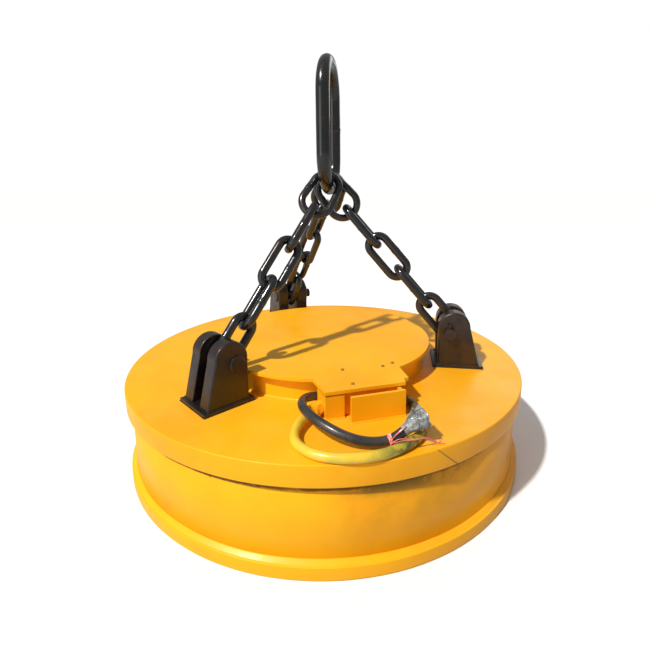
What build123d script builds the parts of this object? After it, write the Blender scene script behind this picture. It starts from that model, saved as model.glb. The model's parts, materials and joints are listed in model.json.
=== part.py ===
"""Round lifting electromagnet with a three-leg chain sling, millimetres.

Frame: origin at the centre of the pole face, +Z up, -Y towards the terminal box side.
"""
import math
import os

from build123d import *

os.makedirs("parts", exist_ok=True)

# ---------------------------------------------------------------- driving dimensions
MAGNET_R = 550.0          # top plate and pole shoe rims
MAGNET_H = 246.0          # pole face to the top of the top plate
TOP_PLATE_T = 48.0
EDGE = 3.0                # chamfer on the body's outer edges
DRUM_R = 536.0            # outer skin, set back between the two rims
DRUM_WALL = 54.0
SHOE_T = 30.0             # outer pole shoe rim height
CORE_R = 212.0            # central pole
INNER_SHOE_R = 236.0
INNER_SHOE_T = 36.0
COIL_R_IN = 226.0
COIL_R_OUT = 466.0
PANCAKE_T = 28.0          # height of one flat winding
PANCAKES = 4
SPACER_T = 3.0            # insulating disc between windings
COIL_Z = 55.0             # underside of the lowest winding
BOSS_R = 288.0            # raised yoke disc on the top plate
COVER_R = 308.0           # its cover plate, which overhangs it
BOSS_AT = (-2, -18)       # centre of both in plan
BOSS_H = 57.0             # top plate to the cover's underside
COVER_T = 8.0
BOX_ANGLE = -75.0         # radial direction of the terminal box
LUG_ANGLES = {"a": 230.0, "b": 350.0, "c": 110.0}
PIN_REACH = 360.0         # magnet axis to the lug pins
PIN_HEIGHT = 100.0        # top plate to the lug pins
PIN_R = 15.0
LUG_H = 155.0
EAR_T = 38.0
LUG_SLOT = 36.0
LINK_WIRE = 22.0
LINK_BOW = 27.5           # centreline radius of a link's bow
TOP_LINK_WIRE = 20.0
TOP_LINK_LENGTH = 128.0   # between the bows' wire centres
TOP_LINK_BOW_LOW = 40.0
TOP_LINK_BOW_HIGH = 36.0
RING_WIRE = 36.0
RING_BOW = 94.5
RING_TOP = 1086.0         # overall height
RING_H = 368.0
RING_X = 25.0             # centre of the ring in plan
RING_Y = -6.0
RING_TURN = 10.0          # plan angle of the ring's plane from the YZ plane, clockwise from above
CLEARANCE = 1.5           # smallest gap left where one link bears on the next
CABLE_D = 20.0

TOP = MAGNET_H
RING_BOTTOM = RING_TOP - RING_H + RING_WIRE / 2      # wire centre of the lower bow
RING_HINGE_Z = RING_BOTTOM + 5.0                     # the ring rocks about this line
RING_SEATS = {"a": -44.0, "b": -2.0, "c": 46.0}      # where each leg sits along the bow
TWIST_SHARES = [0, 0.28, 0.31, 0.59, 0.78]           # a leg's twist, summed link by link


def save(part, label):
    """Label a finished piece and write its STEP file."""
    part.label = label
    export_step(part, "parts/" + label + ".step")


def ring_solid(r_in, r_out, z0, z1):
    """A flat ring or, where r_in is zero, a disc."""
    with BuildPart() as ring:
        with BuildSketch(Plane.XY.offset(z0)):
            Circle(r_out)
            if r_in > 0:
                Circle(r_in, mode=Mode.SUBTRACT)
        extrude(amount=z1 - z0)
    return ring


# ---------------------------------------------------------------- box frame
def box_point(across, out, z=0.0):
    """A point given across and along the terminal box's radial direction."""
    turn = math.radians(BOX_ANGLE + 90)
    x = across * math.cos(turn) + out * math.sin(turn)
    y = across * math.sin(turn) - out * math.cos(turn)
    return Vector(x, y, z)


LEAD_SPOTS = [box_point(16, 354), box_point(46, 354)]
LEAD_R = 8.0
LEAD_HOLE_R = 13.0

# ---------------------------------------------------------------- magnet frame
with BuildPart() as top_plate:
    with BuildSketch(Plane.XY.offset(TOP - TOP_PLATE_T)):
        Circle(MAGNET_R)
    extrude(amount=TOP_PLATE_T)
    rims = top_plate.edges().filter_by(GeomType.CIRCLE)
    chamfer(rims, EDGE)
    with BuildSketch(Plane.XY.offset(TOP)):
        with Locations(*[(p.X, p.Y) for p in LEAD_SPOTS]):
            Circle(LEAD_HOLE_R)
    extrude(amount=-TOP_PLATE_T, mode=Mode.SUBTRACT)
save(top_plate.part, "top_plate")

drum = ring_solid(DRUM_R - DRUM_WALL, DRUM_R, SHOE_T, TOP - TOP_PLATE_T)
save(drum.part, "drum_shell")

SHOE_IN = 470.0
WELD = 9.0                # fillet weld on the shoe's ledge
UPPER_WELD = 7.0          # fillet weld under the top plate
with BuildPart() as outer_shoe:
    with BuildSketch(Plane.XZ):
        with BuildLine():
            Polyline(
                (SHOE_IN, 0),
                (MAGNET_R - EDGE, 0),
                (MAGNET_R, EDGE),
                (MAGNET_R, SHOE_T - EDGE),
                (MAGNET_R - EDGE, SHOE_T),
                (DRUM_R + WELD, SHOE_T),
                (DRUM_R, SHOE_T + WELD),
                (DRUM_R, SHOE_T),
                (SHOE_IN, SHOE_T),
                close=True,
            )
        make_face()
    revolve(axis=Axis.Z)
save(outer_shoe.part, "outer_pole_shoe")

with BuildPart() as upper_weld:
    with BuildSketch(Plane.XZ):
        with BuildLine():
            Polyline(
                (DRUM_R, TOP - TOP_PLATE_T),
                (DRUM_R + UPPER_WELD, TOP - TOP_PLATE_T),
                (DRUM_R, TOP - TOP_PLATE_T - UPPER_WELD),
                close=True,
            )
        make_face()
    revolve(axis=Axis.Z)
save(upper_weld.part, "upper_seam_weld")

SHOE_BOLTS = 6
BOLT_PCD_R = 140.0
BOLT_R = 12.0
BOLT_HEAD_R = 18.0
BOLT_HEAD_T = 24.0
BOLT_RECESS = 3.0
BOLT_DEPTH = 84.0
SOCKET_R = 10.0
SOCKET_DEPTH = 12.0
with BuildPart() as core:
    with BuildSketch(Plane.XY.offset(INNER_SHOE_T)):
        Circle(CORE_R)
    extrude(amount=TOP - TOP_PLATE_T - INNER_SHOE_T)
    with BuildSketch(Plane.XY.offset(INNER_SHOE_T)):
        with PolarLocations(BOLT_PCD_R, SHOE_BOLTS):
            Circle(BOLT_R)
    extrude(amount=BOLT_DEPTH - INNER_SHOE_T, mode=Mode.SUBTRACT)
save(core.part, "core_pole")

with BuildPart() as inner_shoe:
    with BuildSketch():
        Circle(INNER_SHOE_R)
    extrude(amount=INNER_SHOE_T)
    chamfer(inner_shoe.edges().filter_by(GeomType.CIRCLE).group_by(Axis.Z)[0], EDGE)
    with BuildSketch():
        with PolarLocations(BOLT_PCD_R, SHOE_BOLTS):
            Circle(BOLT_HEAD_R + 1)
    extrude(amount=BOLT_RECESS + BOLT_HEAD_T, mode=Mode.SUBTRACT)
    with BuildSketch():
        with PolarLocations(BOLT_PCD_R, SHOE_BOLTS):
            Circle(BOLT_R + 0.5)
    extrude(amount=INNER_SHOE_T, mode=Mode.SUBTRACT)
save(inner_shoe.part, "inner_pole_shoe")

with BuildPart() as shoe_bolts:
    with BuildSketch(Plane.XY.offset(BOLT_RECESS)):
        with PolarLocations(BOLT_PCD_R, SHOE_BOLTS):
            Circle(BOLT_HEAD_R)
    extrude(amount=BOLT_HEAD_T)
    with BuildSketch(Plane.XY.offset(BOLT_RECESS)):
        with PolarLocations(BOLT_PCD_R, SHOE_BOLTS):
            RegularPolygon(SOCKET_R, 6)
    extrude(amount=SOCKET_DEPTH, mode=Mode.SUBTRACT)
    with BuildSketch(Plane.XY.offset(BOLT_RECESS + BOLT_HEAD_T)):
        with PolarLocations(BOLT_PCD_R, SHOE_BOLTS):
            Circle(BOLT_R)
    extrude(amount=BOLT_DEPTH - BOLT_RECESS - BOLT_HEAD_T)
save(shoe_bolts.part, "inner_shoe_bolts")

GUARD_LOW = 10.0          # the guard plate lies this far above the pole face
GUARD_T = 20.0
guard = ring_solid(INNER_SHOE_R + 0.5, SHOE_IN - 0.5, GUARD_LOW, GUARD_LOW + GUARD_T)
save(guard.part, "guard_plate")

# ---------------------------------------------------------------- coil
DRUM_IN = DRUM_R - DRUM_WALL
BASE_BOARD_LOW = INNER_SHOE_T + 1
BASE_BOARD_T = 12.0
base_board = ring_solid(INNER_SHOE_R + 1, DRUM_IN - 1, BASE_BOARD_LOW, BASE_BOARD_LOW + BASE_BOARD_T)
save(base_board.part, "coil_base_board")

FORMER_WALL = 4.0
FORMER_OUT = COIL_R_OUT + 4
FORMER_IN = CORE_R + 4
FORMER_LOW = COIL_Z - FORMER_WALL - 1
COIL_TOP = COIL_Z + PANCAKES * PANCAKE_T + (PANCAKES - 1) * SPACER_T
with BuildPart() as former:
    with BuildSketch(Plane.XZ):
        with BuildLine():
            Polyline(
                (FORMER_IN, FORMER_LOW),
                (FORMER_OUT, FORMER_LOW),
                (FORMER_OUT, FORMER_LOW + FORMER_WALL),
                (FORMER_IN + FORMER_WALL, FORMER_LOW + FORMER_WALL),
                (FORMER_IN + FORMER_WALL, COIL_TOP + 1),
                (FORMER_OUT, COIL_TOP + 1),
                (FORMER_OUT, COIL_TOP + 1 + FORMER_WALL),
                (FORMER_IN, COIL_TOP + 1 + FORMER_WALL),
                close=True,
            )
        make_face()
    revolve(axis=Axis.Z)
    with BuildSketch(Plane.XY.offset(COIL_TOP)):
        with Locations(*[(p.X, p.Y) for p in LEAD_SPOTS]):
            Circle(LEAD_HOLE_R)
    extrude(amount=FORMER_WALL + 2, mode=Mode.SUBTRACT)
save(former.part, "coil_former")

for number in range(PANCAKES):
    z0 = COIL_Z + number * (PANCAKE_T + SPACER_T)
    winding = ring_solid(COIL_R_IN, COIL_R_OUT, z0, z0 + PANCAKE_T)
    save(winding.part, "coil_winding_%d" % (number + 1))

with BuildPart() as spacers:
    for number in range(PANCAKES - 1):
        z0 = COIL_Z + PANCAKE_T + number * (PANCAKE_T + SPACER_T)
        with BuildSketch(Plane.XY.offset(z0)):
            Circle(COIL_R_OUT)
            Circle(COIL_R_IN, mode=Mode.SUBTRACT)
        extrude(amount=SPACER_T)
save(spacers.part, "winding_spacers")

POTTING_IN = COIL_R_OUT + 6
potting = ring_solid(POTTING_IN, DRUM_IN - 0.5, FORMER_LOW, COIL_TOP + 5)
save(potting.part, "potting_compound")

BOARD_LOW = COIL_TOP + 6
with BuildPart() as top_board:
    with BuildSketch(Plane.XY.offset(BOARD_LOW)):
        Circle(DRUM_IN - 2)
        Circle(FORMER_IN, mode=Mode.SUBTRACT)
        with Locations(*[(p.X, p.Y) for p in LEAD_SPOTS]):
            Circle(LEAD_HOLE_R, mode=Mode.SUBTRACT)
    extrude(amount=TOP - TOP_PLATE_T - 1 - BOARD_LOW)
save(top_board.part, "coil_top_board")

LEAD_TOP = TOP + 21
with BuildPart() as leads:
    with BuildSketch(Plane.XY.offset(COIL_TOP)):
        with Locations(*[(p.X, p.Y) for p in LEAD_SPOTS]):
            Circle(LEAD_R)
    extrude(amount=LEAD_TOP - COIL_TOP)
save(leads.part, "coil_leads")

# ---------------------------------------------------------------- raised yoke disc and cover
with BuildPart() as boss:
    with BuildSketch(Plane.XY.offset(TOP)):
        with Locations(BOSS_AT):
            Circle(BOSS_R)
    extrude(amount=BOSS_H)
save(boss.part, "yoke_disc")

# The cover's tongue over the terminal box, in the box's across and out values.
TONGUE = [(-97, 383), (89, 383), (94, 364), (106, 362), (112, 290), (-107, 303)]
COVER_Z = TOP + BOSS_H
SCREW_SPOTS = [(-26, 279), (74, 287), (-27, 359), (104, 275)]
SCREW_R = 4.0
SCREW_HOLE_R = 4.4
with BuildPart() as cover:
    with BuildSketch(Plane.XY.offset(COVER_Z)):
        with Locations(BOSS_AT):
            Circle(COVER_R)
        with BuildLine():
            Polyline(*[box_point(*p) for p in TONGUE], close=True)
        make_face()
    extrude(amount=COVER_T)
    with BuildSketch(Plane.XY.offset(COVER_Z + COVER_T)):
        with Locations(*[(box_point(*s).X, box_point(*s).Y) for s in SCREW_SPOTS]):
            Circle(SCREW_HOLE_R)
    extrude(amount=-COVER_T, mode=Mode.SUBTRACT)
save(cover.part, "cover_plate")

with BuildPart() as cover_screws:
    with BuildSketch(Plane.XY.offset(COVER_Z)):
        with Locations(*[(box_point(*s).X, box_point(*s).Y) for s in SCREW_SPOTS]):
            Circle(SCREW_R)
    extrude(amount=COVER_T + 1)
save(cover_screws.part, "cover_screws")

# ---------------------------------------------------------------- terminal box
BOX_WALL = 6.0
GASKET_T = 3.0
BOX_TOP = COVER_Z - GASKET_T


def wall_ring(outline, wall, z0, z1, bores):
    """Upright walls on an outline in the box's across and out values, with round bores."""
    with BuildPart() as shell:
        with BuildSketch(Plane.XY.offset(z0)):
            with BuildLine():
                Polyline(*[box_point(*p) for p in outline], close=True)
            make_face()
            offset(amount=-wall, kind=Kind.INTERSECTION, mode=Mode.SUBTRACT)
        extrude(amount=z1 - z0)
        for start, direction, radius, depth in bores:
            with BuildSketch(Plane(origin=start, z_dir=direction)):
                Circle(radius)
            extrude(amount=depth, mode=Mode.SUBTRACT)
    return shell


BLOCK_OUTLINE = [(-96, 381), (-53, 381), (-53, 334), (-102, 334)]
PANEL_OUTLINE = [(-52.5, 372), (78, 372), (78, 352), (52, 334), (-52.5, 334)]
# A plate that stands in front of the terminal box, and its return to the box: outline and height.
SHIELD_PLATES = [
    ([(-47, 410), (78, 410), (78, 402), (-47, 402)], 59.0),
    ([(70, 402), (78, 402), (78, 371), (70, 371)], 54.0),
]
PASS_HOLE_R = 9.0
PASS_Z = TOP + 24
GLAND_Z = TOP + 18
GLAND_OUT = 352.0
GLAND_TURN = 232.0         # plan direction in which the gland points
GLAND_BORE = 8.0
gland_dir = Vector(math.cos(math.radians(GLAND_TURN)), math.sin(math.radians(GLAND_TURN)), 0)
gland_root = box_point(-99.5, GLAND_OUT, GLAND_Z)
pass_point = box_point(-60, 354, PASS_Z)
pass_dir = (box_point(1, 0) - box_point(0, 0)).normalized()
gland_hole = (gland_root - gland_dir * 16, gland_dir, GLAND_BORE, 30)
pass_hole = (pass_point, pass_dir, PASS_HOLE_R, 20)

block = wall_ring(BLOCK_OUTLINE, BOX_WALL, TOP, BOX_TOP, [gland_hole, pass_hole])
save(block.part, "cable_entry_block")
panel_walls = wall_ring(PANEL_OUTLINE, BOX_WALL, TOP, BOX_TOP, [pass_hole])
with BuildPart() as panel_box:
    add(panel_walls.part)
    for outline, height in SHIELD_PLATES:
        with BuildSketch(Plane.XY.offset(TOP)):
            with BuildLine():
                Polyline(*[box_point(*p) for p in outline], close=True)
            make_face()
        extrude(amount=height)
save(panel_box.part, "terminal_box")

with BuildPart() as gasket:
    for outline in (BLOCK_OUTLINE, PANEL_OUTLINE):
        with BuildSketch(Plane.XY.offset(BOX_TOP)):
            with BuildLine():
                Polyline(*[box_point(*p) for p in outline], close=True)
            make_face()
            offset(amount=-BOX_WALL, kind=Kind.INTERSECTION, mode=Mode.SUBTRACT)
        extrude(amount=GASKET_T)
save(gasket.part, "cover_gasket")

BOARD_T = 8.0
BOARD_Z = LEAD_TOP + 3
STUD_R = 3.0
NUT_T = 6.0
with BuildPart() as terminal_board:
    with BuildSketch(Plane(origin=box_point(31, 354, BOARD_Z), x_dir=pass_dir, z_dir=(0, 0, 1))):
        Rectangle(48, 18)
        with Locations((-15, 0), (15, 0)):
            Circle(STUD_R + 0.1, mode=Mode.SUBTRACT)
    extrude(amount=BOARD_T)
save(terminal_board.part, "terminal_board")

with BuildPart() as studs:
    with BuildSketch(Plane.XY.offset(LEAD_TOP)):
        with Locations(*[(p.X, p.Y) for p in LEAD_SPOTS]):
            Circle(STUD_R)
    extrude(amount=27)
    with BuildSketch(Plane.XY.offset(BOARD_Z + BOARD_T)):
        with Locations(*[(p.X, p.Y) for p in LEAD_SPOTS]):
            RegularPolygon(2 * STUD_R, 6)
    extrude(amount=NUT_T)
save(studs.part, "terminal_studs")

GLAND_L = 30.0
GLAND_STAGES = [(-2, 13, 15.0), (11, 11, 17.8), (22, 8, 16.0)]    # start, length, radius
with BuildPart() as gland:
    for stage, (start, length, radius) in enumerate(GLAND_STAGES):
        with BuildSketch(Plane(origin=gland_root + gland_dir * start, z_dir=gland_dir)):
            if stage == 1:
                RegularPolygon(radius, 6)
            else:
                Circle(radius)
            Circle(GLAND_BORE - 2, mode=Mode.SUBTRACT)
        extrude(amount=length)
    with BuildSketch(Plane.XY.offset(TOP)):
        with BuildLine():
            Polyline(*[box_point(*p) for p in BLOCK_OUTLINE], close=True)
        make_face()
    extrude(amount=BOSS_H, mode=Mode.SUBTRACT)
save(gland.part, "cable_gland")

# ---------------------------------------------------------------- cable lying on the top plate
gland_exit = gland_root + gland_dir * GLAND_L
gland_lead = gland_exit + gland_dir * 32
CABLE_ROUTE = [
    (gland_exit.X, gland_exit.Y, gland_exit.Z - TOP),
    (gland_lead.X, gland_lead.Y, gland_lead.Z - TOP),
    (-57, -453, 12),
    (-55, -487, 10.4),
    (-39, -513, 10.4),
    (-8, -537, 10.4),
    (38, -546, 10.4),
    (84, -542, 10.4),
    (124, -529, 10.4),
    (159, -507, 10.4),
    (188, -479, 10.4),
    (205, -443, 10.4),
    (209, -405, 10.4),
    (207, -370, 10.4),
    (202.8, -338.8, 10.4),
    (189.5, -313.9, 10.4),
    (166, -298, 10.4),
    (137.9, -295.1, 10.4),
    (100, -302, 11),
    (52, -316, 15),
    (20, -324, 21),
    (-9.4, -333.2, 28),
    (-31.7, -349.4, 34),
    (-43.8, -374.1, 39),
    (-44.5, -401.7, 41.5),
    (-36, -427, 41.5),
    (-18, -452, 39),
    (8, -476, 33),
    (38, -493, 25),
    (70, -500.5, 17),
    (100, -499.5, 13),
    (126, -495, 13.5),
    (148, -488, 21),
    (164, -480, 30),
]


def fillet_radii(points):
    """Each corner's radius: as large as its two runs allow."""
    radii = []
    for before, here, after in zip(points, points[1:], points[2:]):
        run_in = here - before
        run_out = after - here
        shorter = min(run_in.length, run_out.length)
        half_turn = math.radians(run_in.get_angle(run_out)) / 2
        radii.append(0.45 * shorter / math.tan(half_turn))
    return radii


route = [Vector(x, y, TOP + z) for x, y, z in CABLE_ROUTE]
route_radii = fillet_radii(route)
with BuildPart() as cable:
    with BuildLine() as cable_path:
        FilletPolyline(*route, radius=route_radii)
    cable_wire = cable_path.wires()[0]
    with BuildSketch(Plane(origin=cable_wire @ 0, z_dir=cable_wire % 0)):
        Circle(CABLE_D / 2)
    sweep(path=cable_wire)
save(cable.part, "power_cable")

WRAP_SECTIONS = [
    ((164, -480, 30), 11.5),
    ((174, -478, 38), 15.0),
    ((184, -476, 45), 20.0),
    ((198, -472, 49), 23.0),
]
with BuildPart() as end_wrap:
    wrap_dir = (Vector(*WRAP_SECTIONS[-1][0]) - Vector(*WRAP_SECTIONS[0][0])).normalized()
    end_dir = cable_wire % 1
    for number, (spot, radius) in enumerate(WRAP_SECTIONS):
        facing = end_dir if number == 0 else wrap_dir
        with BuildSketch(Plane(origin=Vector(*spot) + Vector(0, 0, TOP), z_dir=facing)):
            Circle(radius)
    loft()
save(end_wrap.part, "cable_end_wrap")

TIE_R = 1.2
TIE_AT = 0.964              # share of the cable's length
with BuildPart() as tie:
    tie_plane = Plane(origin=cable_wire @ TIE_AT, z_dir=cable_wire % TIE_AT)
    with BuildSketch(tie_plane):
        Circle(CABLE_D / 2 + 2 * TIE_R)
        Circle(CABLE_D / 2, mode=Mode.SUBTRACT)
    extrude(amount=2 * TIE_R)
save(tie.part, "cable_tie")

# ---------------------------------------------------------------- sling geometry
ring_along = Vector(math.sin(math.radians(RING_TURN)), math.cos(math.radians(RING_TURN)), 0)
ring_facing = Vector(ring_along.Y, -ring_along.X, 0)
ring_middle = Vector(RING_X, RING_Y, RING_BOTTOM)


def ring_seat(leg):
    """Wire centre and tangent of the ring's lower bow where a leg hangs."""
    along = RING_SEATS[leg]
    lean = math.asin(along / RING_BOW)
    rise = Vector(0, 0, RING_BOW * (1 - math.cos(lean)))
    tangent = ring_along * math.cos(lean) + Vector(0, 0, math.sin(lean))
    return ring_middle + ring_along * along + rise, tangent


def leg_frame(leg):
    """Pin centre, chain direction, hinge axis, chord and the top link's twist."""
    angle = math.radians(LUG_ANGLES[leg])
    pin = Vector(PIN_REACH * math.cos(angle), PIN_REACH * math.sin(angle), TOP + PIN_HEIGHT)
    seat, tangent = ring_seat(leg)
    chord = seat - pin
    axis = chord.normalized()
    hinge = Vector(-axis.Y, axis.X, 0).normalized()
    facing = (tangent - axis * tangent.dot(axis)).normalized()
    if facing.dot(hinge) < 0:
        facing = facing * -1
    twist = math.degrees(math.atan2(hinge.cross(facing).dot(axis), hinge.dot(facing)))
    slant = math.sqrt(1 - tangent.dot(axis) ** 2)
    return pin, axis, hinge, chord.length, twist, slant


def contacts(slant):
    """Distances between wire centres at the six bearings of a leg, with no gap."""
    return [
        PIN_R + LINK_WIRE / 2,
        LINK_WIRE,
        LINK_WIRE,
        LINK_WIRE,
        (LINK_WIRE + TOP_LINK_WIRE) / 2,
        (TOP_LINK_WIRE + RING_WIRE) / 2 / slant,
    ]


# One link length serves all three legs: the tightest leg has the smallest gap.
frames = {leg: leg_frame(leg) for leg in LUG_ANGLES}
spans = {leg: f[3] + sum(contacts(f[5])) - TOP_LINK_LENGTH for leg, f in frames.items()}
LINK_LENGTH = (max(spans.values()) + 6 * CLEARANCE) / 4
gaps = {leg: (4 * LINK_LENGTH - spans[leg]) / 6 for leg in spans}


def welded_link(start, axis, facing, length, wire, bow_low, bow_high):
    """A closed link. Start is the low bow's wire centre and axis runs to the high bow."""
    middle = length - bow_low - bow_high
    slope = math.asin((bow_low - bow_high) / middle)
    low_x = bow_low + bow_low * math.sin(slope)
    low_y = bow_low * math.cos(slope)
    high_x = bow_low + middle + bow_high * math.sin(slope)
    high_y = bow_high * math.cos(slope)
    with BuildPart() as link:
        with BuildLine(Plane(origin=start, x_dir=axis, z_dir=facing)) as loop:
            Line((low_x, low_y), (high_x, high_y))
            ThreePointArc((high_x, high_y), (length, 0), (high_x, -high_y))
            Line((high_x, -high_y), (low_x, -low_y))
            ThreePointArc((low_x, -low_y), (0, 0), (low_x, low_y))
        centreline = loop.wires()[0]
        with BuildSketch(Plane(origin=centreline @ 0, z_dir=centreline % 0)):
            Circle(wire / 2)
        sweep(path=centreline)
    return link


def link_starts(leg):
    """Where each link of a leg begins, measured from the pin along the chain."""
    touch = [c + gaps[leg] for c in contacts(frames[leg][5])]
    starts = [-touch[0]]
    for number in range(1, 5):
        starts.append(starts[-1] + LINK_LENGTH - touch[number])
    return starts


for leg in LUG_ANGLES:
    pin, axis, hinge, chord, twist, slant = frames[leg]
    for number, start in enumerate(link_starts(leg)):
        turned = twist * TWIST_SHARES[number] + (90 if number in (1, 3) else 0)
        facing = hinge.rotate(Axis((0, 0, 0), axis), turned)
        spot = pin + axis * start
        if number < 4:
            link = welded_link(spot, axis, facing, LINK_LENGTH, LINK_WIRE, LINK_BOW, LINK_BOW)
            save(link.part, "chain_%s_link_%d" % (leg, number + 1))
        else:
            link = welded_link(
                spot, axis, facing, TOP_LINK_LENGTH, TOP_LINK_WIRE, TOP_LINK_BOW_LOW, TOP_LINK_BOW_HIGH
            )
            save(link.part, "chain_%s_top_link" % leg)

ring = welded_link(
    ring_middle, Vector(0, 0, 1), ring_facing, RING_H - RING_WIRE, RING_WIRE, RING_BOW, RING_BOW
)
save(ring.part, "master_ring")

# ---------------------------------------------------------------- lugs
BASE_LONG = 132.0
BASE_WIDE = 120.0
BASE_T = 8.0
EAR_FOOT_IN = 53.0         # from the lug's middle to an ear's foot, towards the magnet's axis
EAR_FOOT_OUT = 56.0
EAR_HEAD = 42.0            # radius of its rounded top
EAR_LEAN = 12.0            # the rounded top is this far towards the magnet's axis
LUG_SHIFT = 25.0           # the lug's middle is this far outside its pin
OUTER_EDGE = 3.0
INNER_EDGE = 1.5
PIN_HOLE_R = PIN_R + 0.3
PIN_HEAD_R = 20.0
PIN_HEAD_T = 4.0
PIN_TAIL = 16.0            # pin past the washer
WASHER_T = 3.0
COTTER_R = 2.5
COTTER_HOLE_R = 2.8
COTTER_REACH = 24.0
EAR_OUTSIDE = LUG_SLOT / 2 + EAR_T
WASHER_AT = EAR_OUTSIDE + 0.2
COTTER_AT = EAR_OUTSIDE + WASHER_T + 7
for leg in LUG_ANGLES:
    pin, axis, hinge, chord, twist, slant = frames[leg]
    outward = Vector(-axis.X, -axis.Y, 0).normalized()
    foot = Vector(pin.X, pin.Y, TOP) + outward * LUG_SHIFT
    with BuildPart() as base:
        with BuildSketch(Plane(origin=foot, x_dir=outward, z_dir=(0, 0, 1))):
            Rectangle(BASE_LONG, BASE_WIDE)
        extrude(amount=BASE_T)
    save(base.part, "lug_%s_base" % leg)
    for name, side in (("near", 1), ("far", -1)):
        inner_face = foot + hinge * (side * LUG_SLOT / 2)
        shoulder = side * (LUG_H - EAR_HEAD)
        top_in = (-EAR_LEAN - EAR_HEAD, shoulder)
        top_out = (-EAR_LEAN + EAR_HEAD, shoulder)
        with BuildPart() as ear:
            with BuildSketch(Plane(origin=inner_face, x_dir=outward, z_dir=hinge * side)):
                with BuildLine():
                    Polyline(top_in, (-EAR_FOOT_IN, side * BASE_T), (EAR_FOOT_OUT, side * BASE_T), top_out)
                    ThreePointArc(top_out, (-EAR_LEAN, side * LUG_H), top_in)
                make_face()
            extrude(amount=EAR_T)
            across = ear.faces().sort_by(Axis(foot, hinge * side))
            chamfer(across[-1].edges(), OUTER_EDGE)
            across = ear.faces().sort_by(Axis(foot, hinge * side))
            chamfer(across[0].edges(), INNER_EDGE)
            with BuildSketch(Plane(origin=pin, z_dir=hinge * side)):
                Circle(PIN_HOLE_R)
            extrude(amount=EAR_OUTSIDE + 5, mode=Mode.SUBTRACT)
        save(ear.part, "lug_%s_ear_%s" % (leg, name))
    with BuildPart() as lug_pin:
        with BuildSketch(Plane(origin=pin - hinge * WASHER_AT, z_dir=hinge)):
            Circle(PIN_R)
        extrude(amount=2 * WASHER_AT + WASHER_T + PIN_TAIL)
        with BuildSketch(Plane(origin=pin - hinge * WASHER_AT, z_dir=hinge * -1)):
            Circle(PIN_HEAD_R)
        extrude(amount=PIN_HEAD_T)
        chamfer(lug_pin.faces().sort_by(Axis(pin, hinge))[0].edges(), 2)
        below = pin + hinge * COTTER_AT - Vector(0, 0, 2 * PIN_R)
        with BuildSketch(Plane(origin=below, z_dir=(0, 0, 1))):
            Circle(COTTER_HOLE_R)
        extrude(amount=4 * PIN_R, mode=Mode.SUBTRACT)
    save(lug_pin.part, "lug_%s_pin" % leg)

with BuildPart() as washers:
    for pin, axis, hinge, chord, twist, slant in frames.values():
        with BuildSketch(Plane(origin=pin + hinge * WASHER_AT, z_dir=hinge)):
            Circle(PIN_HEAD_R)
            Circle(PIN_HOLE_R, mode=Mode.SUBTRACT)
        extrude(amount=WASHER_T)
save(washers.part, "lug_pin_washers")

with BuildPart() as cotters:
    for pin, axis, hinge, chord, twist, slant in frames.values():
        below = pin + hinge * COTTER_AT - Vector(0, 0, COTTER_REACH)
        with BuildSketch(Plane(origin=below, z_dir=(0, 0, 1))):
            Circle(COTTER_R)
        extrude(amount=2 * COTTER_REACH)
save(cotters.part, "lug_pin_cotters")
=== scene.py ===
"""Round lifting magnet with a three-leg chain sling: the finished look over the CAD frame, in metres."""
import json
import math
import random

import bmesh
import bpy
import numpy as np
from mathutils import Matrix, Vector, noise


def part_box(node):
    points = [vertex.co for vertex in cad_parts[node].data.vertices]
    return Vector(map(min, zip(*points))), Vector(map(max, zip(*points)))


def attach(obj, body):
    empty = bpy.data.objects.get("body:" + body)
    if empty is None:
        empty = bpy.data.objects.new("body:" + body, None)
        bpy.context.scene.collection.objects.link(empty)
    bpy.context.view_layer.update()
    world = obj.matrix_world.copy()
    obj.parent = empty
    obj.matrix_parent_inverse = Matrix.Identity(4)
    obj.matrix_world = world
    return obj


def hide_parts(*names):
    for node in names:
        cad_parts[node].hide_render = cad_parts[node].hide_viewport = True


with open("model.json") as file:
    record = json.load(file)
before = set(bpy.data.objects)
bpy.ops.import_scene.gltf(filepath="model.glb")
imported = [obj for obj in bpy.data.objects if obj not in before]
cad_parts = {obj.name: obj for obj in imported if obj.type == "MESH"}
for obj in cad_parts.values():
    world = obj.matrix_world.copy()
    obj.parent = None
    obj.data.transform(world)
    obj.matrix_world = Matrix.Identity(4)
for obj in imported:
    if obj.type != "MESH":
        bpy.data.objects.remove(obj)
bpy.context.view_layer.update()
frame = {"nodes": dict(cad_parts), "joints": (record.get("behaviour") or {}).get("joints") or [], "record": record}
nodes = frame["nodes"]
record = frame["record"]
slot_of = {part["node"]: part["material_slot"] for part in record["subparts"]}
random.seed(11)

MM = 0.001
UP = Vector((0, 0, 1))
LEGS = "abc"

# ---------------------------------------------------------------- sizes read from the frame
plate_low, plate_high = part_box("top_plate")
drum_low, drum_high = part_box("drum_shell")
shoe_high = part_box("outer_pole_shoe")[1]
disc_low, disc_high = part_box("yoke_disc")
TOP = plate_high.z
PLATE_LOW = plate_low.z
RIM_R = plate_high.x
DRUM_R = drum_high.x
SHOE_TOP = drum_low.z
SHOE_WELD = shoe_high.z - SHOE_TOP
DISC_MIDDLE = (disc_low + disc_high) / 2
DISC_R = (disc_high.x - disc_low.x) / 2
DISC_TOP = disc_high.z


def placed(name, data):
    """A new object in the scene that holds the data."""
    thing = bpy.data.objects.new(name, data)
    bpy.context.scene.collection.objects.link(thing)
    return thing


def polar(radius, angle, height=0.0):
    """A point at a radius and an angle about the magnet's axis."""
    return Vector((radius * math.cos(angle), radius * math.sin(angle), height))


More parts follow.
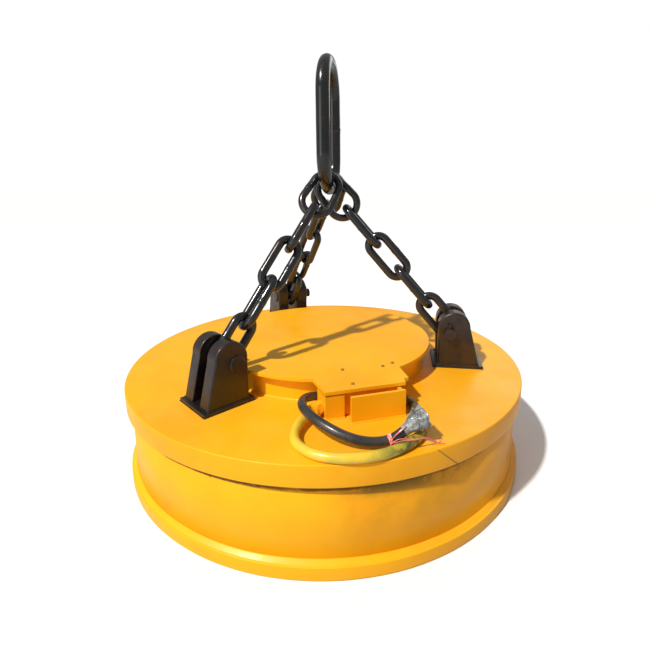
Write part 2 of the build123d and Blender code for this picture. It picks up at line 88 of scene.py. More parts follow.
# ---------------------------------------------------------------- camera
CAMERA_SPOT = Vector((0.0088, -1.2694, 0.7404))
CAMERA_DOWN = math.radians(10.65)
CAMERA_ROLL = math.radians(-0.777)
CAMERA_LENS = 24.52
CAMERA_SHIFT = -0.0846


def make_camera():
    """A camera looking along +Y and a little down, rolled by under a degree."""
    data = bpy.data.cameras.new("camera")
    data.lens = CAMERA_LENS
    data.sensor_width = 36.0
    data.shift_y = CAMERA_SHIFT
    camera = placed("camera", data)
    ahead = Vector((0, math.cos(CAMERA_DOWN), -math.sin(CAMERA_DOWN)))
    right = Vector((1, 0, 0))
    above = right.cross(ahead)
    turned_right = right * math.cos(CAMERA_ROLL) + above * math.sin(CAMERA_ROLL)
    turned_above = above * math.cos(CAMERA_ROLL) - right * math.sin(CAMERA_ROLL)
    turn = Matrix((turned_right, turned_above, -ahead)).transposed().to_4x4()
    camera.matrix_world = Matrix.Translation(CAMERA_SPOT) @ turn
    bpy.context.scene.camera = camera


make_camera()


# ---------------------------------------------------------------- shader building
class Finish:
    """A material with one Principled surface, and short calls for the nodes that feed it."""

    def __init__(self, name, roughness, metallic=0.0, coat=0.0, coat_roughness=0.1):
        self.material = bpy.data.materials.new(name)
        self.material.use_nodes = True
        self.tree = self.material.node_tree
        self.surface = self.tree.nodes["Principled BSDF"]
        self.surface.inputs["Roughness"].default_value = roughness
        self.surface.inputs["Metallic"].default_value = metallic
        self.surface.inputs["Coat Weight"].default_value = coat
        self.surface.inputs["Coat Roughness"].default_value = coat_roughness
        self.place = self.tree.nodes.new("ShaderNodeTexCoord").outputs["Object"]

    def put(self, socket, value):
        """Link or set one input."""
        if isinstance(value, bpy.types.NodeSocket):
            self.tree.links.new(value, socket)
        elif hasattr(value, "__len__") and len(value) == 3 and socket.type == "RGBA":
            socket.default_value = (*value, 1.0)
        else:
            socket.default_value = value

    def stretch(self, factors):
        """The object's coordinates, scaled unevenly."""
        node = self.tree.nodes.new("ShaderNodeMapping")
        self.put(node.inputs["Vector"], self.place)
        node.inputs["Scale"].default_value = factors
        return node.outputs["Vector"]

    def noise(self, scale, detail=3.0, roughness=0.5, place=None):
        node = self.tree.nodes.new("ShaderNodeTexNoise")
        self.put(node.inputs["Vector"], place or self.place)
        node.inputs["Scale"].default_value = scale
        node.inputs["Detail"].default_value = detail
        node.inputs["Roughness"].default_value = roughness
        return node.outputs["Fac"]

    def cells(self, scale):
        node = self.tree.nodes.new("ShaderNodeTexVoronoi")
        self.put(node.inputs["Vector"], self.place)
        node.inputs["Scale"].default_value = scale
        return node.outputs["Distance"]

    def part(self, axis):
        """One coordinate of the place, as a number in metres."""
        node = self.tree.nodes.new("ShaderNodeSeparateXYZ")
        self.put(node.inputs[0], self.place)
        return node.outputs[axis]

    def attribute(self, name):
        node = self.tree.nodes.new("ShaderNodeAttribute")
        node.attribute_name = name
        return node.outputs["Fac"]

    def math(self, kind, *values):
        node = self.tree.nodes.new("ShaderNodeMath")
        node.operation = kind
        for socket, value in zip(node.inputs, values):
            self.put(socket, value)
        return node.outputs[0]

    def times(self, one, two):
        return self.math("MULTIPLY", one, two)

    def rings(self, scale, distortion=0.0):
        """Rings about the magnet's axis."""
        node = self.tree.nodes.new("ShaderNodeTexWave")
        node.wave_type = "RINGS"
        node.rings_direction = "Z"
        self.put(node.inputs["Vector"], self.place)
        node.inputs["Scale"].default_value = scale
        node.inputs["Distortion"].default_value = distortion
        return node.outputs["Fac"]

    def rise(self, value, start, end, low=0.0, high=1.0):
        """low below start, high above end, and a smooth step between them."""
        node = self.tree.nodes.new("ShaderNodeMapRange")
        node.interpolation_type = "SMOOTHSTEP"
        self.put(node.inputs["Value"], value)
        node.inputs["From Min"].default_value = start
        node.inputs["From Max"].default_value = end
        node.inputs["To Min"].default_value = low
        node.inputs["To Max"].default_value = high
        return node.outputs["Result"]

    def mix(self, share, one, two):
        node = self.tree.nodes.new("ShaderNodeMix")
        node.data_type = "RGBA"
        self.put(node.inputs["Factor"], share)
        self.put(node.inputs[6], one)
        self.put(node.inputs[7], two)
        return node.outputs[2]

    def edges(self, radius):
        """Near 1 within about radius of an edge, 0 on open faces."""
        bevel = self.tree.nodes.new("ShaderNodeBevel")
        bevel.samples = 4
        bevel.inputs["Radius"].default_value = radius
        shape = self.tree.nodes.new("ShaderNodeNewGeometry")
        dot = self.tree.nodes.new("ShaderNodeVectorMath")
        dot.operation = "DOT_PRODUCT"
        self.put(dot.inputs[0], bevel.outputs["Normal"])
        self.put(dot.inputs[1], shape.outputs["Normal"])
        return self.rise(dot.outputs["Value"], 0.97, 0.80)

    def facing_up(self):
        """1 on surfaces that face up, 0 on upright ones and below."""
        shape = self.tree.nodes.new("ShaderNodeNewGeometry")
        split = self.tree.nodes.new("ShaderNodeSeparateXYZ")
        self.put(split.inputs[0], shape.outputs["Normal"])
        return self.rise(split.outputs["Z"], 0.3, 0.95)

    def colour(self, value):
        self.put(self.surface.inputs["Base Color"], value)

    def roughness(self, value):
        self.put(self.surface.inputs["Roughness"], value)

    def metallic(self, value):
        self.put(self.surface.inputs["Metallic"], value)

    def bump(self, *layers):
        """Stack bump layers, each (height, distance in metres, strength)."""
        normal = None
        for height, distance, strength in layers:
            node = self.tree.nodes.new("ShaderNodeBump")
            self.put(node.inputs["Height"], height)
            node.inputs["Distance"].default_value = distance
            node.inputs["Strength"].default_value = strength
            if normal is not None:
                self.put(node.inputs["Normal"], normal)
            normal = node.outputs["Normal"]
        self.put(self.surface.inputs["Normal"], normal)


# ---------------------------------------------------------------- finishes
YELLOW = (0.99, 0.47, 0.007)
YELLOW_DEEP = (0.93, 0.385, 0.003)
YELLOW_PALE = (1.0, 0.53, 0.025)
PRIMER = (0.30, 0.10, 0.03)
GRIME = (0.20, 0.13, 0.02)


def enamel(name, drum=False):
    """Sprayed yellow enamel: uneven, fine orange peel, dust, thin edges; drum adds runs and stains, a painted
    shadow line just under the top plate, and a patch of painted shade on the upper right front.
    """
    f = Finish(name, 0.36, coat=0.05, coat_roughness=0.22)
    f.surface.inputs["Specular IOR Level"].default_value = 0.22
    cloud = f.noise(2.6, 4.0, 0.55)
    mottle = f.noise(17.0, 5.0, 0.6)
    speck = f.noise(420.0, 2.0, 0.6)
    colour = f.mix(f.rise(cloud, 0.38, 0.66), YELLOW, YELLOW_DEEP)
    colour = f.mix(f.rise(mottle, 0.52, 0.78, 0.0, 0.35), colour, YELLOW_PALE)
    dust = f.times(f.facing_up(), f.rise(f.noise(6.0, 6.0, 0.65), 0.35, 0.75, 0.0, 0.22))
    colour = f.mix(dust, colour, (0.98, 0.58, 0.09))
    colour = f.mix(f.rise(speck, 0.70, 0.78, 0.0, 0.35), colour, (0.45, 0.22, 0.02))
    worn = f.times(f.edges(0.0035), f.rise(f.noise(38.0, 5.0, 0.7), 0.50, 0.64))
    colour = f.mix(f.times(worn, 0.55), colour, PRIMER)
    thin = f.times(f.edges(0.007), f.rise(mottle, 0.40, 0.60, 0.0, 0.35))
    colour = f.mix(thin, colour, YELLOW_DEEP)
    peel = f.noise(190.0, 3.0, 0.5)
    if drum:
        streak = f.noise(1.0, 4.0, 0.6, f.stretch((34.0, 34.0, 2.2)))
        colour = f.mix(f.rise(streak, 0.55, 0.75, 0.0, 0.30), colour, YELLOW_DEEP)
        height = f.part("Z")
        ragged = f.math("MULTIPLY_ADD", f.noise(24.0, 4.0, 0.6), 0.012, height)
        # Painted shadow: a slightly ragged dark brown band over the top few millimetres under the top plate and
        # its bead, where the rim's overhang casts shade.
        corner = f.rise(ragged, PLATE_LOW - 0.0105, PLATE_LOW - 0.0060)
        line = f.times(corner, f.rise(f.noise(9.0, 4.0, 0.6), 0.36, 0.50, 0.35, 1.0))
        colour = f.mix(f.times(line, 0.9), colour, (0.20, 0.070, 0.006))
        near_rim = f.rise(ragged, PLATE_LOW - 0.040, PLATE_LOW - 0.006)
        right_front = f.times(f.rise(f.part("X"), 0.0, 0.10), f.rise(f.part("X"), 0.34, 0.24))
        patches = f.rise(f.noise(11.0, 5.0, 0.7), 0.42, 0.56)
        stain = f.times(f.times(near_rim, right_front), patches)
        colour = f.mix(f.times(stain, 0.9), colour, GRIME)
        # Painted shade: a soft, darker orange-brown patch on the upper drum at the right front.
        painted_shade_patches = f.rise(f.noise(8.0, 4.0, 0.6), 0.38, 0.62, 0.0, 0.38)
        below = f.times(f.rise(height, 0.05, 0.15), painted_shade_patches)
        colour = f.mix(f.times(below, right_front), colour, (0.40, 0.19, 0.01))
        scuffs = f.rise(f.noise(7.0, 6.0, 0.7), 0.56, 0.72)
        scuff_band = f.times(f.rise(height, 0.12, 0.05), scuffs)
        colour = f.mix(f.times(scuff_band, 0.30), colour, (0.62, 0.30, 0.03))
    f.colour(colour)
    gloss = f.rise(f.noise(9.0, 4.0, 0.6), 0.3, 0.7, 0.28, 0.46)
    f.roughness(f.math("ADD", gloss, f.times(worn, 0.3)))
    f.bump((f.noise(7.0, 2.0, 0.5), 0.004, 0.12), (peel, 0.0004, 0.22), (speck, 0.0003, 0.12))
    return f.material


def black_enamel(name, brown, gloss, tint, grain=0.0):
    """Black dip or spray paint over forged or flame-cut steel, brown where it is thin."""
    f = Finish(name, gloss, coat=0.25, coat_roughness=0.10)
    patches = f.noise(14.0, 5.0, 0.65)
    fine = f.noise(120.0, 4.0, 0.6)
    colour = f.mix(f.rise(patches, 0.40, 0.68, 0.0, brown), tint, (0.046, 0.020, 0.0075))
    colour = f.mix(f.rise(fine, 0.62, 0.74, 0.0, 0.5), colour, (0.050, 0.046, 0.042))
    worn = f.times(f.edges(0.003), f.rise(f.noise(60.0, 5.0, 0.7), 0.50, 0.66))
    colour = f.mix(f.times(worn, 0.75), colour, (0.16, 0.10, 0.065))
    f.colour(colour)
    f.roughness(f.rise(f.noise(30.0, 4.0, 0.6), 0.3, 0.75, gloss - 0.05, gloss + 0.12))
    layers = [(f.noise(70.0, 3.0, 0.55), 0.0006, 0.16), (fine, 0.0002, 0.12)]
    if grain:
        cuts = f.noise(1.0, 3.0, 0.6, f.stretch((260.0, 260.0, 18.0)))
        layers.append((cuts, 0.0006, grain))
    f.bump(*layers)
    return f.material


def bare_steel(name, base, ringed=False, roughness=0.34):
    """Machined or rolled steel; ringed adds the turning marks of a faced disc."""
    f = Finish(name, roughness, metallic=1.0)
    dull = f.noise(9.0, 5.0, 0.6)
    dark = tuple(0.55 * channel for channel in base)
    colour = f.mix(f.rise(dull, 0.35, 0.7), base, dark)
    colour = f.mix(f.rise(f.noise(26.0, 6.0, 0.7), 0.60, 0.74, 0.0, 0.6), colour, (0.18, 0.09, 0.045))
    f.colour(colour)
    f.metallic(f.rise(f.noise(26.0, 6.0, 0.7), 0.60, 0.74, 1.0, 0.35))
    f.roughness(f.rise(dull, 0.3, 0.7, roughness - 0.08, roughness + 0.2))
    layers = [(f.noise(80.0, 4.0, 0.6), 0.0004, 0.3)]
    if ringed:
        layers.append((f.rings(110.0, 0.6), 0.0002, 0.25))
    f.bump(*layers)
    return f.material


def moulded(name, base, dark, roughness, scale=30.0):
    """A plain matt insulating or rubber part with slight mottling."""
    f = Finish(name, roughness)
    f.colour(f.mix(f.noise(scale, 4.0, 0.6), base, dark))
    f.roughness(f.rise(f.noise(scale * 2, 3.0, 0.6), 0.3, 0.7, roughness - 0.08, roughness + 0.1))
    f.bump((f.noise(scale * 8, 3.0, 0.6), 0.0004, 0.3))
    return f.material


def wound_strip(name):
    """Anodised strip wound flat: fine rings, one for each turn."""
    f = Finish(name, 0.38, metallic=0.9)
    turns = f.rings(150.0)
    f.colour(f.mix(turns, (0.74, 0.74, 0.77), (0.40, 0.40, 0.43)))
    f.roughness(f.rise(f.noise(20.0), 0.3, 0.7, 0.3, 0.5))
    f.bump((turns, 0.0004, 0.4))
    return f.material


def cable_sheath(name):
    """Grey-black rubber; the first turn has yellow overspray that wears to green and to bare rubber."""
    f = Finish(name, 0.34, coat=0.30, coat_roughness=0.16)
    along = f.attribute("along")
    blotch = f.noise(34.0, 5.0, 0.7)
    fine = f.noise(260.0, 3.0, 0.6)
    rubber = f.mix(f.rise(f.noise(22.0, 4.0, 0.6), 0.35, 0.7), (0.026, 0.026, 0.028), (0.060, 0.048, 0.036))
    green = f.mix(f.rise(blotch, 0.42, 0.56), (0.44, 0.35, 0.030), (0.060, 0.085, 0.022))
    spray = f.mix(f.rise(f.noise(20.0, 4.0, 0.6), 0.38, 0.66), (0.90, 0.56, 0.035), (0.66, 0.50, 0.045))
    coated = f.mix(f.rise(along, 0.22, 0.32), spray, green)
    thin = f.rise(f.math("ADD", along, f.times(blotch, 0.30)), 0.47, 0.62)
    bare = f.math("MAXIMUM", thin, f.rise(f.noise(46.0, 5.0, 0.75), 0.66, 0.72))
    colour = f.mix(bare, coated, rubber)
    back = f.times(f.rise(along, 0.44, 0.50), f.rise(along, 0.66, 0.58))
    colour = f.mix(f.times(back, f.rise(blotch, 0.46, 0.56, 0.0, 0.8)), colour, (0.20, 0.19, 0.04))
    f.colour(colour)
    f.roughness(f.rise(fine, 0.3, 0.7, 0.26, 0.42))
    f.bump((f.noise(60.0, 3.0, 0.5), 0.0007, 0.25), (fine, 0.0002, 0.25))
    return f.material


def crumpled_film(name):
    """Dusty stretch film: milky and creased; its tone is darker in the fold valleys as painted shade, lighter at
    the crease cells as painted highlights, and its inner face is painted near black as the shade where the layers
    open.
    """
    f = Finish(name, 0.30, coat=0.5, coat_roughness=0.12)
    crease_cells_and_highlight = f.cells(75.0)
    fold_relief_and_shade = f.noise(1.0, 5.0, 0.7, f.stretch((90.0, 60.0, 30.0)))
    # Painted shade: the film's tone follows its fold relief, dark in the valleys and lighter on the ridges.
    colour = f.mix(f.rise(fold_relief_and_shade, 0.36, 0.62), (0.070, 0.078, 0.066), (0.33, 0.34, 0.33))
    # Painted highlights: pale spots at the crease cells.
    colour = f.mix(f.rise(crease_cells_and_highlight, 0.30, 0.05, 0.0, 0.6), colour, (0.56, 0.57, 0.55))
    # Painted shade: the film's inner face is painted near black, as the shade inside the hood.
    painted_inner_shade = f.attribute("painted_inner_shade")
    colour = f.mix(painted_inner_shade, colour, (0.016, 0.017, 0.014))
    f.colour(colour)
    f.roughness(f.rise(fold_relief_and_shade, 0.3, 0.7, 0.20, 0.48))
    f.bump((crease_cells_and_highlight, 0.0022, 0.7), (fold_relief_and_shade, 0.0016, 0.6), (f.noise(210.0), 0.0006, 0.5))
    return f.material


def split_twine(name):
    """Flat split-film twine: pink-red with pale fibres."""
    f = Finish(name, 0.48)
    fibre = f.noise(1.0, 4.0, 0.7, f.stretch((60.0, 900.0, 900.0)))
    colour = f.mix(f.rise(fibre, 0.38, 0.62), (0.80, 0.10, 0.085), (0.96, 0.40, 0.36))
    f.colour(f.mix(f.rise(f.noise(90.0), 0.58, 0.70), colour, (1.0, 0.66, 0.60)))
    f.bump((fibre, 0.0005, 0.8))
    return f.material


body_yellow = enamel("enamel_yellow")
drum_yellow = enamel("enamel_yellow_drum", drum=True)
lug_black = black_enamel("enamel_black_lug", 0.70, 0.36, (0.008, 0.0065, 0.0065), grain=0.30)
chain_black = black_enamel("enamel_black_chain", 0.35, 0.20, (0.012, 0.013, 0.016))
ring_black = black_enamel("enamel_black_ring", 0.25, 0.18, (0.009, 0.012, 0.012))
rubber_sheath = cable_sheath("cable_rubber")
film = crumpled_film("wrap_film")
screw_paint = moulded("screw_paint", (0.34, 0.22, 0.03), (0.12, 0.09, 0.03), 0.5, 400.0)
twine = split_twine("string_twine")
SLOT_FINISHES = {
    "yellow_paint": body_yellow,
    "black_paint": lug_black,
    "chain_black": chain_black,
    "ring_black": ring_black,
    "core_steel": bare_steel("core_steel", (0.33, 0.33, 0.34)),
    "pole_steel": bare_steel("pole_steel", (0.46, 0.46, 0.47), ringed=True),
    "guard_steel": bare_steel("guard_steel", (0.42, 0.41, 0.40), roughness=0.45),
    "bolt_steel": bare_steel("bolt_steel", (0.22, 0.22, 0.23), roughness=0.4),
    "winding": wound_strip("winding_strip"),
    "brass": bare_steel("brass", (0.76, 0.52, 0.22)),
    "insulation": moulded("insulation_board", (0.62, 0.50, 0.28), (0.50, 0.38, 0.18), 0.5),
    "potting": moulded("potting_resin", (0.25, 0.14, 0.09), (0.16, 0.08, 0.05), 0.35),
    "gasket_rubber": moulded("gasket_rubber", (0.42, 0.19, 0.008), (0.25, 0.11, 0.008), 0.6),
    "cable_rubber": rubber_sheath,
    "wrap_film": film,
    "string": twine,
}


# ---------------------------------------------------------------- mesh building
def finished(name, mesh, finish, body, replaced=(), weighted=False):
    """Link a mesh as a piece, give it its finish, and let it ride on its body."""
    for polygon in mesh.polygons:
        polygon.use_smooth = True
    piece = placed(name, mesh)
    mesh.materials.append(finish)
    if weighted:
        normals = piece.modifiers.new("normals", "WEIGHTED_NORMAL")
        normals.weight = 100
        normals.keep_sharp = True
    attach(piece, body)
    if replaced:
        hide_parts(*replaced)
    return piece


def add_numbers(mesh, name, values):
    """A number for each vertex, which a material can read."""
    layer = mesh.attributes.new(name, "FLOAT", "POINT")
    layer.data.foreach_set("value", np.asarray(values, np.float32))


def mesh_from(name, spots, faces):
    mesh = bpy.data.meshes.new(name)
    mesh.from_pydata([tuple(spot) for spot in spots], [], faces)
    mesh.update()
    return mesh


def grid_faces(rings, sides, closed_rings):
    """Quads between neighbouring rings of points."""
    faces = []
    for ring in range(rings if closed_rings else rings - 1):
        here = ring * sides
        after = (ring + 1) % rings * sides
        for side in range(sides):
            beside = (side + 1) % sides
            faces.append((here + side, here + beside, after + beside, after + side))
    return faces


def tube_faces(base, rings, sides):
    """The faces of a tube with both ends closed, whose points start at number base."""
    faces = [tuple(base + index for index in face) for face in grid_faces(rings, sides, False)]
    last = base + (rings - 1) * sides
    faces.append(tuple(reversed(range(base, base + sides))))
    faces.append(tuple(range(last, last + sides)))
    return faces


def rounded_profile(corners, radius, steps=4):
    """An outline's corners, each rounded by a curve that meets both its sides."""
    outline = []
    count = len(corners)
    for number, corner in enumerate(corners):
        here = Vector(corner[:2])
        size = corner[2] if len(corner) > 2 else radius
        before = Vector(corners[number - 1][:2]) - here
        after = Vector(corners[(number + 1) % count][:2]) - here
        half = before.angle(after) / 2
        reach = min(size / math.tan(half), 0.45 * before.length, 0.45 * after.length)
        start = here + before.normalized() * reach
        end = here + after.normalized() * reach
        for step in range(steps + 1):
            share = step / steps
            outline.append(start * (1 - share) ** 2 + here * 2 * share * (1 - share) + end * share**2)
    return outline


def lathe(node, outline, finish, shift):
    """Turn a closed outline of (radius, height) about the magnet's axis, in place of a node."""
    spots = []
    for turn in range(BODY_TURNS):
        angle = 2 * math.pi * turn / BODY_TURNS
        for radius, height in outline:
            radius, height = shift(angle, radius, height)
            spots.append((radius * math.cos(angle), radius * math.sin(angle), height))
    mesh = mesh_from(node + "_look", spots, grid_faces(BODY_TURNS, len(outline), True))
    return finished(node + "_look", mesh, finish, "magnet", [node])


def carried_frames(path, closed=False):
    """Tangent and two normals at each point of a path, carried along without twist."""
    count = len(path)
    tangents = []
    for number in range(count):
        after = path[(number + 1) % count] if closed or number < count - 1 else path[number]
        before = path[number - 1] if closed or number > 0 else path[number]
        tangents.append((after - before).normalized())
    first = UP if abs(tangents[0].z) < 0.9 else Vector((1, 0, 0))
    normal = (first - tangents[0] * first.dot(tangents[0])).normalized()
    frames = []
    for tangent in tangents:
        normal = (normal - tangent * normal.dot(tangent)).normalized()
        frames.append((tangent, normal, tangent.cross(normal)))
    return frames


def swept(name, path, frames, sides, radius, closed=False):
    """A tube of points round a path; radius(ring, angle) gives its size there."""
    spots = []
    for ring, (centre, (tangent, normal, side)) in enumerate(zip(path, frames)):
        for number in range(sides):
            angle = 2 * math.pi * number / sides
            reach = radius(ring, angle)
            spots.append(centre + (normal * math.cos(angle) + side * math.sin(angle)) * reach)
    faces = grid_faces(len(path), sides, True) if closed else tube_faces(0, len(path), sides)
    return mesh_from(name, spots, faces)


SHARP_ANGLE = math.radians(32)


def refined(node, rounding):
    """A node's own solid with its facets merged and its sharp edges rounded, in place of the node."""
    source = nodes[node]
    bm = bmesh.new()
    bm.from_mesh(source.data)
    bm.transform(source.matrix_world)
    bmesh.ops.remove_doubles(bm, verts=bm.verts, dist=1e-6)
    bmesh.ops.dissolve_limit(bm, angle_limit=math.radians(0.3), verts=bm.verts, edges=bm.edges)
    crisp = [e for e in bm.edges if len(e.link_faces) == 2 and e.calc_face_angle(0.0) > SHARP_ANGLE]
    bmesh.ops.bevel(
        bm, geom=crisp, offset=rounding, segments=3, profile=0.6, affect="EDGES", clamp_overlap=True
    )
    bmesh.ops.recalc_face_normals(bm, faces=bm.faces)
    mesh = bpy.data.meshes.new(node + "_look")
    bm.to_mesh(mesh)
    bm.free()
    slot = slot_of[node]
    finish = SLOT_FINISHES[slot]
    return finished(node + "_look", mesh, finish, body_of_node(node), [node], weighted=True)


def body_of_node(node):
    """The CAD body that a node belongs to."""
    for body, members in record["behaviour"]["bodies"].items():
        if node in members:
            return body


def ripple(place, pitch):
    """The stacked-coins rhythm of a hand weld, from -0.5 to 0.5, a little uneven."""
    beat = place / pitch + 0.35 * noise.noise(Vector((place * 23, 3.1, 0)))
    return (beat % 1.0) - 0.5


def weld_bead(name, path, size, finish, closed=False, pitch=0.006, replaced=()):
    """A rippled weld bead along a path, sunk into the corner that it fills."""
    frames = carried_frames(path, closed)
    travelled = [0.0]
    for one, two in zip(path, path[1:]):
        travelled.append(travelled[-1] + (two - one).length)

    def radius(ring, angle):
        place = travelled[ring]
        lump = noise.noise(Vector((place * 34, angle, size * 900)))
        return size * (1 + 0.16 * ripple(place, pitch) + 0.16 * lump)

    mesh = swept(name, path, frames, 10, radius, closed)
    return finished(name, mesh, finish, "magnet", replaced)


def polyline(corners, step, closed=False):
    """Evenly spaced points along straight runs."""
    path = []
    ends = corners[1:] + corners[:1] if closed else corners[1:]
    for one, two in zip(corners, ends):
        run = two - one
        count = max(1, round(run.length / step))
        path += [one + run * (number / count) for number in range(count)]
    if not closed:
        path.append(corners[-1])
    return path


def circle_path(radius, height, count):
    return [polar(radius, 2 * math.pi * n / count, height) for n in range(count)]


def world_corners(node):
    """A node's own vertices, in the shared frame."""
    source = nodes[node]
    return [source.matrix_world @ v.co for v in source.data.vertices]


# ---------------------------------------------------------------- power cable, film wrap and string
BOX_TURN = math.radians(15)
CABLE_D = 20 * MM


def above_plate(x, y, height):
    """A point given in millimetres, with its height above the top plate."""
    return Vector((x * MM, y * MM, TOP + height * MM))


def box_spot(across, out, height):
    """A point given in millimetres across and along the terminal box's radial direction."""
    x = across * math.cos(BOX_TURN) + out * math.sin(BOX_TURN)
    y = across * math.sin(BOX_TURN) - out * math.cos(BOX_TURN)
    return above_plate(x, y, height)


GLAND_TURN = math.radians(232)
GLAND_REACH = 30
GLAND_LEAD = 32
gland_way = polar(1, GLAND_TURN)
gland_root = box_spot(-99.5, 352, 18)
cable_exit = gland_root + gland_way * GLAND_REACH * MM
cable_lead = cable_exit + gland_way * GLAND_LEAD * MM

# The rest of the route, in millimetres, with heights above the top plate.
CABLE_ROUTE = [
    (-57, -453, 12),
    (-55, -487, 10.4),
    (-39, -513, 10.4),
    (-8, -537, 10.4),
    (38, -546, 10.4),
    (84, -542, 10.4),
    (124, -529, 10.4),
    (159, -507, 10.4),
    (188, -479, 10.4),
    (205, -443, 10.4),
    (209, -405, 10.4),
    (207, -370, 10.4),
    (202.8, -338.8, 10.4),
    (189.5, -313.9, 10.4),
    (166, -298, 10.4),
    (137.9, -295.1, 10.4),
    (100, -302, 11),
    (52, -316, 15),
    (20, -324, 21),
    (-9.4, -333.2, 28),
    (-31.7, -349.4, 34),
    (-43.8, -374.1, 39),
    (-44.5, -401.7, 41.5),
    (-36, -427, 41.5),
    (-18, -452, 39),
    (8, -476, 33),
    (38, -493, 25),
    (70, -500.5, 17),
    (100, -499.5, 13),
    (126, -495, 13.5),
    (148, -488, 21),
    (164, -480, 30),
]


def cable_line():
    """Closely spaced points of the smooth line through the route."""
    data = bpy.data.curves.new("cable_route", "CURVE")
    data.dimensions = "3D"
    data.resolution_u = 16
    spline = data.splines.new("NURBS")
    spots = [cable_exit, cable_lead] + [above_plate(*spot) for spot in CABLE_ROUTE]
    spline.points.add(len(spots) - 1)
    for point, spot in zip(spline.points, spots):
        point.co = (*spot, 1.0)
    spline.order_u = 3
    spline.use_endpoint_u = True
    holder = placed("cable_route", data)
    mesh = bpy.data.meshes.new_from_object(holder)
    path = [vertex.co.copy() for vertex in mesh.vertices]
    bpy.data.objects.remove(holder)
    bpy.data.curves.remove(data)
    bpy.data.meshes.remove(mesh)
    return path


def length_along(path):
    """How far each point is along its path, and the whole length."""
    reached = [0.0]
    for one, two in zip(path, path[1:]):
        reached.append(reached[-1] + (two - one).length)
    return reached, reached[-1]


cable_path = cable_line()
cable_reached, CABLE_LENGTH = length_along(cable_path)


def make_cable():
    """The sheathed cable as a tube, with slightly uneven rubber."""
    frames = carried_frames(cable_path)

    def radius(ring, angle):
        place = cable_path[ring]
        return CABLE_D / 2 * (1 + 0.012 * noise.noise(place * 40))

    sides = 28
    mesh = swept("power_cable_look", cable_path, frames, sides, radius)
    add_numbers(mesh, "along", np.repeat(np.array(cable_reached) / CABLE_LENGTH, sides))
    return finished("power_cable_look", mesh, rubber_sheath, "magnet", ["power_cable"])


cable = make_cable()


# The film is wound on the cable's end and opens upwards and to the right.
WRAP_SPINE = [
    (156, -484, 26),
    (164, -480, 30),
    (171, -478.5, 35),
    (179, -477, 41),
    (189, -474.5, 46),
    (200, -471, 49),
]
WRAP_SIZE = [10.8, 11.2, 13.5, 18.0, 22.0, 23.5]
WRAP_TURNS = 96
WRAP_RINGS = 60
WRAP_THICK = 1.2 * MM


def blend_list(values, share):
    """A value part of the way through a list, smoothly between its members."""
    place = share * (len(values) - 1)
    low = min(int(place), len(values) - 2)
    part = place - low
    part = part * part * (3 - 2 * part)
    return values[low] * (1 - part) + values[low + 1] * part


def make_wrap():
    """Crumpled stretch film: tight on the cable, then opening into a creased hood whose mouth is dark from painted
    shade on the film's inner face.
    """
    spine = [above_plate(*spot) for spot in WRAP_SPINE]
    path = [blend_list(spine, ring / (WRAP_RINGS - 1)) for ring in range(WRAP_RINGS)]
    frames = carried_frames(path)
    pleats = [random.uniform(0, 2 * math.pi) for _ in range(5)]

    def radius(ring, angle):
        share = ring / (WRAP_RINGS - 1)
        size = blend_list(WRAP_SIZE, share) * MM
        open_part = share * share * (3 - 2 * share)
        fold = 0
        for n, pleat in enumerate(pleats):
            fold += math.sin(angle * (5 + 2 * n) + pleat + share * 2.2 * (n - 2)) / (n + 2)
        around = polar(1, angle) * 2.4
        fine = noise.noise(around * 2.6 + Vector((0, 0, share * 24)))
        crumple = noise.noise(around + Vector((share * 9, 0, 4.0))) + 0.5 * fine
        return size * (1 + (0.03 + 0.08 * open_part) * fold + (0.03 + 0.11 * open_part) * crumple)

    outer = []
    for ring in range(WRAP_RINGS):
        tangent, normal, side = frames[ring]
        for number in range(WRAP_TURNS):
            angle = 2 * math.pi * number / WRAP_TURNS
            lip = max(0.0, ring / (WRAP_RINGS - 1) - 0.6) / 0.4
            ragged = tangent * (lip * 4 * MM * noise.noise(polar(1.7, angle, 8.0)))
            out = normal * math.cos(angle) + side * math.sin(angle)
            outer.append(path[ring] + out * radius(ring, angle) + ragged)
    inner = []
    for ring in range(WRAP_RINGS - 1, WRAP_RINGS // 3, -1):
        for number in range(WRAP_TURNS):
            spot = outer[ring * WRAP_TURNS + number]
            inner.append(spot + (path[ring] - spot).normalized() * WRAP_THICK)
    spots = outer + inner
    faces = tube_faces(0, len(spots) // WRAP_TURNS, WRAP_TURNS)
    mesh = mesh_from("cable_end_wrap_look", spots, faces)
    # Marks the inner face, which the film's finish paints near black as shade.
    painted_inner_shade = [0.0] * len(outer) + [1.0] * len(inner)
    add_numbers(mesh, "painted_inner_shade", painted_inner_shade)
    for number, spot in enumerate(mesh.vertices):
        spot.co.z = max(spot.co.z, TOP + 1 * MM)
    return finished("cable_end_wrap_look", mesh, film, "magnet", ["cable_end_wrap"])


wrap = make_wrap()

TIE_AT = 0.964
TIE_TURNS = 3
TIE_PITCH = 2.4 * MM
TWINE_W = 3.0 * MM
TWINE_T = 0.8 * MM
KNOT_STEPS = 60
# String ends, in millimetres, with heights above the top plate: over the cable to the plate, and to the film.
TAILS = [
    [(131, -505, 15), (146, -508, 25), (168, -508, 24), (190, -502, 22), (208, -495, 12),
     (226, -488, 2.5), (238, -487, 1.4)],
    [(131, -505, 14), (148, -512, 23), (172, -509, 23), (196, -499, 21), (212, -490, 10),
     (224, -483, 1.8), (232, -478, 1.2)],
    [(130, -504, 19), (138, -501, 27), (150, -496, 36), (160, -490, 42)],
]


